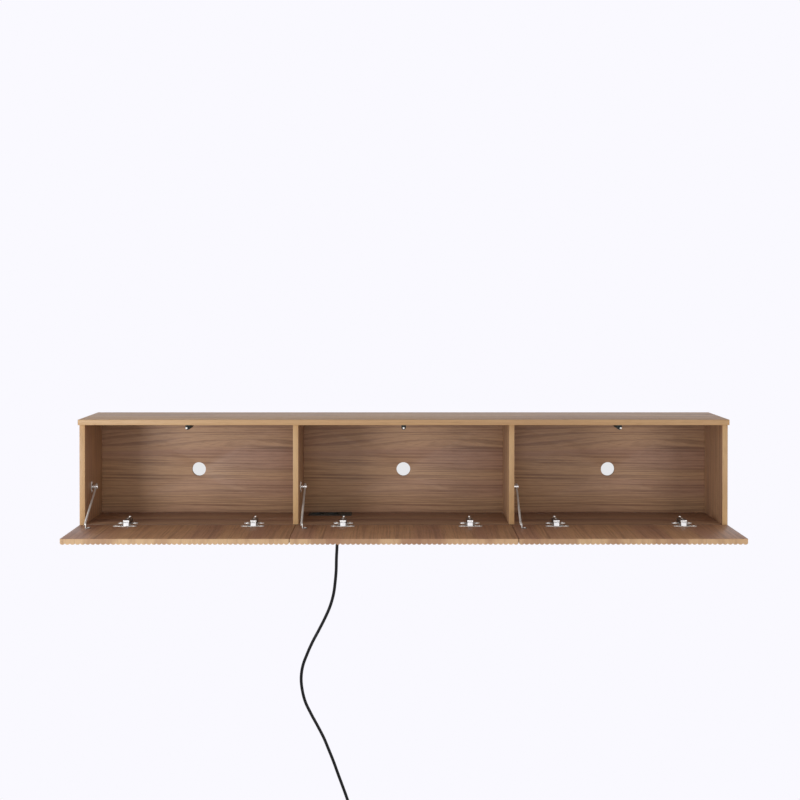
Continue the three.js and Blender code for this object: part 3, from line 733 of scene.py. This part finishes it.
finish_fitting(mains_cord, "mains_cord", "cabinet", "cord_rubber", "power_cord", "cord_coil")
finish_fitting(cord_plug, "plug_body", "cabinet", "cord_rubber", "cord_plug")
finish_fitting(plug_contacts, "plug_pins", "cabinet", "stay_steel", "cord_plug")
finish_fitting(coil_tie, "coil_tie", "cabinet", "cord_rubber")
discard(screw)

# %% [markdown]
# A material is a small network of nodes, and this lesson builds several. Helpers keep that short: one
# adds a node and feeds its inputs with plain values or with other nodes' outputs, one turns a colour as
# a paint program names it into linear light, and one gives a shader its colour, roughness and relief.

# %% Helpers for materials
def linear(red, green, blue):
    """A colour in 0-255 as a paint program names it, turned into linear light."""
    shares = [v / 255 for v in (red, green, blue)]
    return tuple(s / 12.92 if s <= 0.04045 else ((s + 0.055) / 1.055) ** 2.4 for s in shares) + (1,)


def feed(tree, node, feeds):
    """Give a node's inputs plain values or other nodes' outputs."""
    for key, value in feeds.items():
        if isinstance(value, bpy.types.NodeSocket):
            tree.links.new(value, node.inputs[key])
        else:
            node.inputs[key].default_value = value


def put(tree, kind, feeds, **settings):
    """Add a node, set it and feed it."""
    node = tree.nodes.new("ShaderNode" + kind)
    for key, value in settings.items():
        setattr(node, key, value)
    feed(tree, node, feeds)
    return node


def sum_up(tree, operation, first, second=0.0, third=0.0):
    feeds = {0: first, 1: second, 2: third}
    return put(tree, "Math", feeds, operation=operation).outputs[0]


def mix(tree, share, first, second):
    return put(tree, "Mix", {0: share, 6: first, 7: second}, data_type="RGBA").outputs[2]


def noise(tree, place, scales, detail, roughness=0.55):
    """Noise on stretched coordinates: scales are how often it changes per metre along each direction."""
    stretched = put(tree, "Mapping", {"Vector": place, "Scale": scales})
    return put(tree, "TexNoise", {"Vector": stretched.outputs[0], "Scale": 1.0, "Detail": detail,
                                  "Roughness": roughness}).outputs["Fac"]


def ramp(tree, value, low, high):
    """Nothing at low, full at high, and a smooth passage between."""
    feeds = {"Value": value, "From Min": low, "From Max": high}
    return put(tree, "MapRange", feeds, interpolation_type="SMOOTHSTEP").outputs[0]


def new_group(name, inputs):
    """A group that puts out a colour, a roughness and a height, in this order."""
    group = bpy.data.node_groups.new(name, "ShaderNodeTree")
    outputs = {"Color": "Color", "Roughness": "Float", "Height": "Float"}
    for direction, sockets in (("INPUT", inputs), ("OUTPUT", outputs)):
        for socket, kind in sockets.items():
            group.interface.new_socket(socket, in_out=direction, socket_type="NodeSocket" + kind)
    return group, group.nodes.new("NodeGroupInput"), group.nodes.new("NodeGroupOutput")


def cleared(owner):
    """The empty node tree of a new material or world."""
    owner.use_nodes = True
    owner.node_tree.nodes.clear()
    return owner.node_tree


def new_material(name):
    material = bpy.data.materials.new(name)
    tree = cleared(material)
    shader = put(tree, "BsdfPrincipled", {})
    put(tree, "OutputMaterial", {"Surface": shader.outputs[0]})
    return material, tree, shader, put(tree, "TexCoord", {}).outputs["Object"]


def shade(tree, shader, colour, roughness, height, strength, depth, others):
    """Feed the shader its colour and roughness, a relief from the height, and other constants."""
    relief = put(tree, "Bump", {"Height": height, "Strength": strength, "Distance": depth})
    feed(tree, shader, {"Base Color": colour, "Roughness": roughness,
                        "Normal": relief.outputs[0], **others})


# %% [markdown]
# The foil copies a plain-sawn walnut veneer. Its growth lines run along the board and wave a little.
# Only near one line, where the saw met the middle of the trunk, do they close into a long flame. The
# group draws this as a distance, bent by slow noise. Streaks, lines, fibres and pores all read it.

# %% Draw the walnut figure as a node group
walnut, inside, outside = new_group(
    "walnut_figure",
    {"Grain Space": "Vector", "Warm": "Color", "Cool": "Color", "Dark": "Color", "Figure": "Float",
     "Contrast": "Float"})
space = inside.outputs["Grain Space"]
axes = put(walnut, "SeparateXYZ", {0: space})
along_grain, across_grain = axes.outputs[0], axes.outputs[1]
slow_wave = sum_up(walnut, "SUBTRACT", noise(walnut, space, (1.7, 5.0, 5.0), 1.0), 0.5)
quick_wave = sum_up(walnut, "SUBTRACT", noise(walnut, space, (5.0, 16.0, 16.0), 1.0), 0.5)
bent = sum_up(walnut, "MULTIPLY_ADD", slow_wave, 0.016, across_grain)
bent = sum_up(walnut, "MULTIPLY_ADD", quick_wave, 0.003, bent)
stretched = sum_up(walnut, "MULTIPLY", along_grain, 0.10)
flame = sum_up(walnut, "SQRT", sum_up(walnut, "MULTIPLY_ADD", stretched, stretched,
                                      sum_up(walnut, "POWER", sum_up(walnut, "ABSOLUTE", bent), 2.0)))
flame = sum_up(walnut, "MULTIPLY_ADD", bent, 0.35, flame)
near_flame = ramp(walnut, sum_up(walnut, "ABSOLUTE", bent), 0.050, 0.010)
curve = sum_up(walnut, "MULTIPLY", sum_up(walnut, "SUBTRACT", flame, bent), near_flame)
growth = sum_up(walnut, "MULTIPLY_ADD", curve, inside.outputs["Figure"], bent)
rings = put(walnut, "CombineXYZ", {0: along_grain, 1: growth, 2: axes.outputs[2]}).outputs[0]

zones = ramp(walnut, noise(walnut, rings, (0.9, 14.0, 2.0), 2.0), 0.34, 0.66)
streaks = ramp(walnut, noise(walnut, rings, (1.5, 105.0, 6.0), 2.0, 0.5), 0.57, 0.67)
lines = ramp(walnut, noise(walnut, rings, (3.0, 240.0, 8.0), 1.0, 0.5), 0.52, 0.62)
fibres = ramp(walnut, noise(walnut, rings, (16.0, 400.0, 60.0), 2.0, 0.6), 0.45, 0.70)
pores = ramp(walnut, noise(walnut, rings, (30.0, 1100.0, 900.0), 1.0), 0.55, 0.72)
contrast = inside.outputs["Contrast"]
base = mix(walnut, zones, inside.outputs["Warm"], inside.outputs["Cool"])
for marks, share in ((streaks, 0.75), (lines, 0.62), (fibres, 0.40)):
    strength = sum_up(walnut, "MULTIPLY", sum_up(walnut, "MULTIPLY", marks, share), contrast)
    base = mix(walnut, strength, base, inside.outputs["Dark"])
base = mix(walnut, sum_up(walnut, "MULTIPLY", pores, 0.18), base, (0.06, 0.035, 0.02, 1))
depth = sum_up(walnut, "MULTIPLY_ADD", pores, -0.7, sum_up(walnut, "MULTIPLY", lines, -0.3))
feed(walnut, outside, {
    "Color": base, "Roughness": sum_up(walnut, "MULTIPLY_ADD", pores, 0.12, 0.46), "Height": depth})
print("walnut figure nodes:", len(walnut.nodes))

# %% [markdown]
# Each board takes the figure with its own direction: along the top, floor and backs, upright on the
# sides, and front to back on the flaps. The foil comes off one printing roll, so the same flame turns
# up in every bay. A Wrap node starts the pattern again at each bay. Edge bands are paler and plainer,
# and the milled ends of the flaps show more of the grain. The floor's front edge lies in the joint
# behind the flaps and gets a dark brown as painted shade. The floor's foil is painted darker as shade
# inside the bays, and the sides' foil lighter as painted light on the walls. Lower sheen keeps the top
# board from paling. The two rails are plain softwood with wide, quiet growth lines, because nobody sees
# them once the console hangs.

# %% Wood finishes
bay_pitch = middle("right_back_panel").x - middle("middle_back_panel").x
back_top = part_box("middle_back_panel")[1].z
quarter = math.pi / 2
origin = lie_flat = (0, 0, 0)
stand_on_back, stand_upright, front_to_back = (-quarter, 0, 0), (0, quarter, 0), (0, 0, quarter)
back_colours = (187, 149, 114), (173, 134, 111), (112, 80, 62)
top_colours = (202, 158, 108), (182, 139, 99), (118, 84, 60)
# Painted light: the sides' foil is lighter than the backs', for light the inner walls lack.
painted_light_side_colours = (202, 162, 121), (184, 143, 112), (116, 83, 62)
# Painted shade: the floor's foil is darker than the rest, for the shade inside the bays.
painted_shade_floor_colours = (168, 131, 101), (150, 113, 93), (97, 68, 53)
flap_colours = (190, 142, 103), (166, 119, 92), (110, 74, 54)
band_colours = (206, 167, 116), (194, 152, 103), (170, 128, 86)
flap_end_colours = (210, 173, 130), (205, 165, 125), (146, 98, 72)
# Painted shade: a dark brown for the floor's front edge, which lies in the joint behind the flaps.
painted_shade_edge_colours = (112, 80, 60), (98, 68, 52), (72, 50, 38)
pine_colours = (222, 190, 142), (212, 176, 128), (180, 134, 84)


def wood(name, turn, centre, figure, contrast, colours, by_bay=False, sheen=0.4):
    """Wood with this grain direction, flame centre, and warm, cool and dark colours."""
    material, tree, shader, place = new_material(name)
    if by_bay:
        parts = put(tree, "SeparateXYZ", {0: place})
        x = sum_up(tree, "WRAP", parts.outputs[0], bay_pitch / 2, -bay_pitch / 2)
        place = put(tree, "CombineXYZ", {0: x, 1: parts.outputs[1], 2: parts.outputs[2]}).outputs[0]
    moved = put(tree, "VectorMath", {0: place, 1: centre}, operation="SUBTRACT").outputs[0]
    grain_space = put(tree, "Mapping", {"Vector": moved, "Rotation": turn}).outputs[0]
    warm, cool, dark = (linear(*colour) for colour in colours)
    figured = put(tree, "Group", {"Grain Space": grain_space, "Warm": warm, "Cool": cool, "Dark": dark,
                                  "Figure": figure, "Contrast": contrast}, node_tree=walnut)
    shade(tree, shader, *figured.outputs, 0.35, 0.0003, {"Specular IOR Level": sheen})
    return material


back_centre = (0.13, 0, back_top - 0.066)
back_wood = wood("back_wood", stand_on_back, back_centre, 0.55, 0.65, back_colours, True)
top_wood = wood("top_wood", lie_flat, (0.3, -0.13, 0), 0.6, 0.75, top_colours, sheen=0.30)
floor_wood = wood("floor_wood", lie_flat, (-0.1, -0.2, 0), 0.6, 0.75, painted_shade_floor_colours, True)
side_wood = wood("side_wood", stand_upright, (0, -0.12, 0), 0.3, 0.75, painted_light_side_colours)
flap_wood = wood("flap_wood", front_to_back, (0.08, -0.45, 0), 0.15, 0.55, flap_colours, True)
band_along = wood("band_along", stand_on_back, origin, 0.0, 0.5, band_colours, sheen=0.6)
band_upright = wood("band_upright", stand_upright, origin, 0.0, 0.5, band_colours, sheen=0.6)
flap_end = wood("flap_end", stand_upright, origin, 0.0, 0.75, flap_end_colours)
painted_shade_edge = wood("painted_shade_edge", stand_on_back, origin, 0.0, 0.5, painted_shade_edge_colours)
rail_wood = wood("rail_wood", stand_on_back, (0.2, 0, -0.03), 0.7, 0.5, pine_colours)

# %% [markdown]
# Where the foil ends, at the rear edges and in the drilled holes, the bare particle board shows. It is
# pressed from wood chips, so its surface is a mosaic of small pale and dark flakes.

# %% Bare board
bare_board, tree, shader, place = new_material("bare_board")
chips = put(tree, "TexVoronoi", {"Vector": place, "Scale": 420.0}, feature="F1")
fibres = noise(tree, place, (900.0, 900.0, 900.0), 2.0)
chip_tone = put(tree, "SeparateXYZ", {0: chips.outputs["Color"]}).outputs[0]
colour = mix(tree, chip_tone, linear(196, 164, 122), linear(150, 114, 78))
colour = mix(tree, ramp(tree, fibres, 0.55, 0.75), colour, linear(112, 82, 56))
shade(tree, shader, colour, sum_up(tree, "MULTIPLY_ADD", fibres, 0.1, 0.8),
      chips.outputs["Distance"], 0.4, 0.0005, {})

# %% [markdown]
# The hinges and stays are plated steel. Plating is never quite even: it has a faint cloudy change in
# its gloss and very fine scratches. A node group draws both. Four finishes share it: bright nickel, a
# duller one on pressed parts, a dark one that is painted shade on faces lying in shadow, and zinc on
# the stays.

# %% Metal finishes
plating, inside, outside = new_group(
    "plating_wear", {"Place": "Vector", "Bright": "Color", "Dull": "Color", "Gloss": "Float"})
clouds = noise(plating, inside.outputs["Place"], (60.0, 60.0, 60.0), 3.0)
scratches = noise(plating, inside.outputs["Place"], (400.0, 4000.0, 2500.0), 2.0)
tone = ramp(plating, clouds, 0.35, 0.7)
feed(plating, outside, {
    "Color": mix(plating, tone, inside.outputs["Bright"], inside.outputs["Dull"]),
    "Roughness": sum_up(plating, "MULTIPLY_ADD", clouds, 0.16, inside.outputs["Gloss"]),
    "Height": scratches})


def metal(name, bright, dull, gloss, metallic=1.0):
    material, tree, shader, place = new_material(name)
    plated = put(tree, "Group", {"Place": place, "Bright": linear(*bright), "Dull": linear(*dull),
                                 "Gloss": gloss}, node_tree=plating)
    shade(tree, shader, *plated.outputs, 0.2, 0.00002, {"Metallic": metallic})
    return material


hinge_nickel = metal("hinge_nickel", (246, 245, 242), (232, 231, 228), 0.30)
pressed_nickel = metal("pressed_nickel", (226, 222, 216), (208, 204, 198), 0.44, 0.6)
# Painted shade: a dark copy of the nickel, for faces that lie in shadow.
painted_shade_nickel = metal("painted_shade_nickel", (128, 124, 120), (104, 100, 96), 0.34)
stay_steel = metal("stay_steel", (232, 229, 224), (218, 215, 209), 0.38, 0.45)

# %% [markdown]
# Black mouldings differ mostly in how they break up the light. The power unit and the latches are a
# hard plastic with a fine spark-eroded grain. The cord and its plug are blacker and smoother, so they
# shine only in narrow glints. The tie is a woven loop tape, so its bump is a small weave.

# %% Plastic, rubber and woven tape
def moulded(name, base, lighter, roughness, grain, depth):
    material, tree, shader, place = new_material(name)
    fine = noise(tree, place, (grain, grain, grain), 2.0)
    slow = noise(tree, place, (35.0, 35.0, 35.0), 2.0)
    colour = mix(tree, ramp(tree, slow, 0.3, 0.8), linear(*base), linear(*lighter))
    shade(tree, shader, colour, sum_up(tree, "MULTIPLY_ADD", fine, 0.15, roughness), fine, 0.3, depth,
          {"Specular IOR Level": 0.2})
    return material


black_plastic = moulded("black_plastic", (52, 60, 61), (60, 68, 69), 0.42, 2600.0, 0.00006)
cord_rubber = moulded("cord_rubber", (5, 5, 5), (9, 9, 9), 0.2, 1400.0, 0.00002)

tie_tape, tree, shader, place = new_material("tie_tape")
weave = put(tree, "TexWave", {"Vector": place, "Scale": 260.0, "Distortion": 1.5, "Detail": 1.0},
            wave_type="BANDS", bands_direction="X")
loops = noise(tree, place, (1500.0, 1500.0, 1500.0), 3.0)
shade(tree, shader, mix(tree, loops, linear(22, 22, 24), linear(44, 44, 48)), 0.9,
      sum_up(tree, "MULTIPLY_ADD", weave.outputs["Fac"], 0.5, loops), 0.6, 0.0004, {"Sheen Weight": 0.3})

# %% [markdown]
# Now every piece gets its finish. A board has up to three: the foil on its broad faces, the band on the
# edge that faces the room, and bare board behind or in a hole. The floor's front edge takes painted
# shade in place of the band. Faces are told apart by their normals, and on the fittings by their place:
# dark nickel paints shade behind the nose of a hinge, in its cup, along its plate's spine and on a
# stay's foot.

# %% Give every piece its finish
def dress(piece, *materials, pick=lambda face: 0):
    """Give a piece its materials; pick says which of them a face takes."""
    piece.data.materials.clear()
    for material in materials:
        piece.data.materials.append(material)
    if piece.type == "MESH":
        for face in piece.data.polygons:
            face.material_index = int(pick(face))


square_on, sloping = 0.95, 0.3
for node, piece in boards.items():
    if "back_panel" in node:
        dress(piece, back_wood, bare_board, pick=lambda face: abs(face.normal.y) < sloping)
        continue
    is_top, is_floor = node == "top_panel", node == "bottom_panel"
    face_wood = top_wood if is_top else floor_wood if is_floor else side_wood
    # The floor's front edge and its rounding take the painted shade.
    edge_wood = band_along if is_top else painted_shade_edge if is_floor else band_upright
    steepest = -sloping if is_floor else -square_on

    def board_finish(face):
        banded = face.normal.y < steepest or (is_top and abs(face.normal.x) > square_on)
        return 2 if face.normal.y > 0.5 else banded

    dress(piece, face_wood, edge_wood, bare_board, pick=board_finish)

for piece in flaps:
    dress(piece, flap_wood, flap_end, pick=lambda face: face.normal.y < -square_on)

finishes = {"hinge_nickel": hinge_nickel, "stay_steel": stay_steel,
            "black_plastic": black_plastic, "cord_rubber": cord_rubber}
for piece, slot in fittings:
    dress(piece, finishes[slot])
dress(coil_tie, tie_tape)

# Painted shade: dark nickel behind each hinge's nose, in its cup, along its plate's spine and on each stay
# foot's base.
nose_end, lever_base, cup_painted_shade_top = arm_low.y + 9 * MM, arm_top + 0.2 * MM, cup_top - 2 * MM
painted_shade_spine_half, painted_shade_sole, stud_offset = 9.4 * MM, 1.55 * MM, 2 * MM


def refinish(node, pick, *materials):
    dress(bpy.data.objects[f"{node}_fitting"], *materials, pick=pick)


def arm_finish(face):
    """Bright nickel at the nose, steel on the lever, and painted shade on the rest."""
    if face.center.y <= nose_end:
        return 0
    return 2 if face.center.z > lever_base else 1


for bay in bays:
    for hinge in (f"{bay}_hinge_a", f"{bay}_hinge_b"):
        plate_middle = middle(f"{hinge}_plate").x
        # Painted shade along the plate's spine, under the arm.
        refinish(f"{hinge}_plate", lambda face: abs(face.center.x - plate_middle) < painted_shade_spine_half,
                 pressed_nickel, painted_shade_nickel)
        # Painted shade inside the cup, below its flange.
        refinish(f"{hinge}_cup", lambda face: face.center.z < cup_painted_shade_top, pressed_nickel, painted_shade_nickel)
        refinish(f"{hinge}_arm", arm_finish, hinge_nickel, painted_shade_nickel, stay_steel)
    # Painted shade on the foot's base; the ear stays bright.
    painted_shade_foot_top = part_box(f"{bay}_stay_foot")[0].z + painted_shade_sole
    refinish(f"{bay}_stay_foot", lambda face: face.center.z < painted_shade_foot_top, pressed_nickel, painted_shade_nickel)
    stud_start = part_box(f"{bay}_stay_bracket")[0].x + stud_offset
    refinish(f"{bay}_stay_bracket", lambda face: face.center.x < stud_start, hinge_nickel, pressed_nickel)

for node in ("hanging_rail", "wall_rail"):
    nodes[node].material_slots[0].material = rail_wood
print("finished pieces:", len(boards) + len(flaps) + len(fittings))

# %% [markdown]
# The stage is nearly nothing: the console hangs in a plain white room. A pale floor lies far below it,
# keeps a faint shadow and fades into the background. Small cards behind the cable holes glow flat grey
# as painted shade, where the wall would lie in shadow. Seen from behind, floor and cards are clear and
# block no view.

# %% Floor and cards of painted shade
backdrop_colour = linear(250, 249, 255)


def one_sided(name, front):
    """A material that shows its front shader and is clear from behind."""
    material = bpy.data.materials.new(name)
    tree = cleared(material)
    behind = put(tree, "NewGeometry", {}).outputs["Backfacing"]
    clear = put(tree, "BsdfTransparent", {}).outputs[0]
    both = put(tree, "MixShader", {0: behind, 1: front(tree), 2: clear})
    put(tree, "OutputMaterial", {"Surface": both.outputs[0]})
    return material


def rays_that_see(tree):
    """One for the camera's rays and for reflected and transmitted ones, nothing for the others."""
    rays = put(tree, "LightPath", {})
    seen = sum_up(tree, "MAXIMUM", rays.outputs["Is Camera Ray"], rays.outputs["Is Glossy Ray"])
    return sum_up(tree, "MAXIMUM", seen, rays.outputs["Is Transmission Ray"])


def floor_front(tree):
    place = put(tree, "TexCoord", {}).outputs["Object"]
    near = put(tree, "Mapping", {"Vector": place, "Location": (0, 0.55, 0), "Scale": (0.42, 0.67, 0)})
    away = put(tree, "VectorMath", {0: near.outputs[0]}, operation="LENGTH").outputs["Value"]
    faded = ramp(tree, away, 0.45, 1.0)
    pale = sum_up(tree, "MAXIMUM", faded, sum_up(tree, "MULTIPLY", rays_that_see(tree), 0.82))
    paint = put(tree, "BsdfDiffuse", {"Color": linear(238, 237, 240)}).outputs[0]
    glow = put(tree, "Emission", {"Color": backdrop_colour}).outputs[0]
    return put(tree, "MixShader", {0: pale, 1: paint, 2: glow}).outputs[0]


def painted_shade_card_front(tree):
    # Painted shade: a flat grey glow that stands in for the shaded wall behind each hole.
    shown = put(tree, "Emission", {"Color": linear(230, 230, 231)}).outputs[0]
    clear = put(tree, "BsdfTransparent", {}).outputs[0]
    return put(tree, "MixShader", {0: rays_that_see(tree), 1: clear, 2: shown}).outputs[0]


studio_floor = sheet("studio_floor", (0, -0.82, -1.27), 4.8, 3.0)
dress(studio_floor, one_sided("floor_paint", floor_front))
painted_shade_card_material = one_sided("painted_shade_card_paint", painted_shade_card_front)
for bay in bays:
    deselect()
    bpy.ops.mesh.primitive_plane_add(size=0.07, location=(middle(f"{bay}_flap").x, 0.001, hole_height),
                                     rotation=(quarter, 0, 0))
    card = settle(f"{bay}_painted_shade_card")
    dress(card, painted_shade_card_material)

# %% [markdown]
# The light is an even room plus three broad, low lamps. The key lamp stands far off at the front left:
# it reaches deep into the bays, and each left wall throws its soft shadow on the back panel. A weaker
# fill lamp at the right opens those shadows, and one straight ahead evens them out. The key is a touch
# cooler and the fill a touch warmer, so the wood turns warmer from left to right. The camera and
# reflections see the room white, but it lights the wood more gently.

# %% Light the room
world = bpy.data.worlds.new("white_room")
bpy.context.scene.world = world
tree = cleared(world)
soft = put(tree, "Background", {"Color": (1, 1, 1, 1), "Strength": 0.38}).outputs[0]
shown = put(tree, "Background", {"Color": backdrop_colour, "Strength": 1.0}).outputs[0]
both = put(tree, "MixShader", {0: rays_that_see(tree), 1: soft, 2: shown})
put(tree, "OutputWorld", {"Surface": both.outputs[0]})


def broad_lamp(name, place, aim, width, height, watts, tint=(1, 1, 1)):
    """A rectangular lamp that points from its place to the aim."""
    turn = (Vector(place) - Vector(aim)).to_track_quat("Z", "Y").to_euler()
    bpy.ops.object.light_add(type="AREA", location=place, rotation=turn)
    lamp = bpy.context.object
    lamp.name = name
    lamp.data.shape = "RECTANGLE"
    lamp.data.size, lamp.data.size_y = width, height
    lamp.data.energy = watts
    lamp.data.color = tint
    lamp.visible_camera = False


broad_lamp("key_lamp", (-3.0, -3.35, 0.03), (-3.4, -0.3, 0.03), 2.0, 0.7, 90, (0.96, 1.0, 1.05))
broad_lamp("fill_lamp", (2.65, -3.35, 0.03), (3.5, -0.3, 0.03), 1.9, 0.7, 26, (1.0, 0.92, 0.84))
broad_lamp("front_lamp", (0.0, -6.4, 0.0), (0.0, -0.3, 0.0), 2.4, 0.6, 44)
bpy.context.scene.view_settings.view_transform = "Standard"

# %% Update the scene and finish
bpy.context.view_layer.update()
